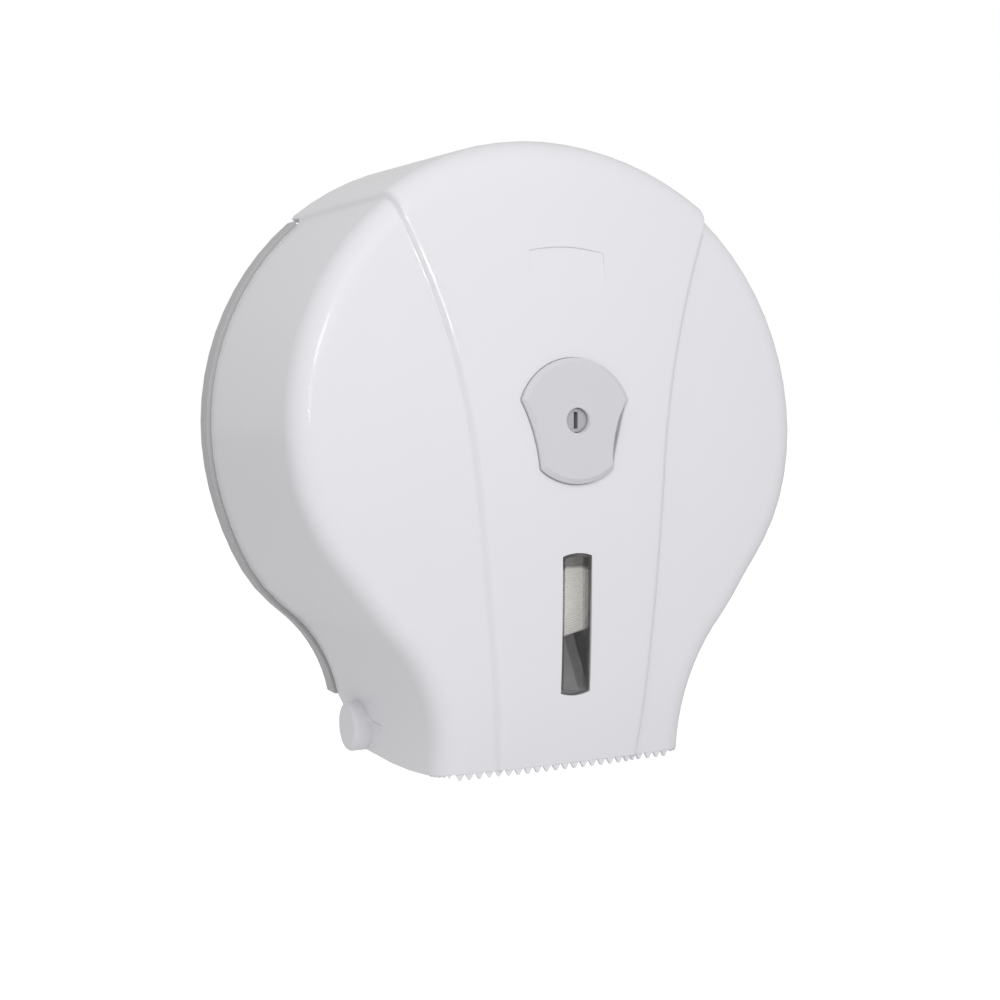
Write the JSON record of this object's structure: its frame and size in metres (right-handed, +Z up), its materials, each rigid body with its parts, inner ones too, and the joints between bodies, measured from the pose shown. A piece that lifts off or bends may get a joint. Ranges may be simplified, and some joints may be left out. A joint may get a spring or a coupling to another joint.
{
  "type": "jumbo toilet roll dispenser",
  "caption": "Wall-mounted round dispenser for a large toilet roll, with a hinged locking cover, a level window and a toothed tear lip.",
  "frame": {"origin": "where the spindle's axis meets the wall, on the back plate's rear face", "axes": "+Z up, +X to the viewer's right when facing the dispenser, -Y out of the wall towards the viewer"},
  "size_m": [0.27, 0.146, 0.2973],
  "materials": {
    "gloss_white": "glossy moulded",
    "white_plastic": "satin moulded",
    "grey_plastic": "satin moulded",
    "light_grey_plastic": "satin moulded",
    "smoked_pane": "smoked clear",
    "steel": "zinc plated",
    "cardboard": "raw board",
    "paper": "soft tissue"
  },
  "bodies": {
    "base": {"back_plate": "grey_plastic", "spindle": "white_plastic", "spindle_screws": "steel", "spindle_cap": "white_plastic", "cap_screws": "steel", "hinge_pin_left": "steel", "hinge_pin_right": "steel"},
    "cover": {"front_cover": "gloss_white", "window_lens": "smoked_pane", "lock_plate": "light_grey_plastic", "lock_plate_screws": "steel", "lock_housing": "white_plastic"},
    "lock": {"lock_barrel": "steel", "barrel_washer": "steel", "retaining_clip": "steel", "lock_cam": "steel", "cam_screw": "steel"},
    "roll": {"core_adapter": "white_plastic", "roll_core": "cardboard", "paper_roll": "paper"}
  },
  "joints": [
    {"name": "cover_hinge", "type": "hinge", "parent": "base", "child": "cover", "pos_m": [0, -0.042, -0.153], "axis": [1, 0, 0], "range_deg": [0, 95]},
    {"name": "lock_turn", "type": "hinge", "parent": "cover", "child": "lock", "pos_m": [0, -0.12, 0], "axis": [0, 1, 0], "range_deg": [0, 90]},
    {"name": "roll_turn", "type": "hinge", "parent": "base", "child": "roll", "pos_m": [0, -0.055, 0], "axis": [0, 1, 0], "continuous": true}
  ]
}
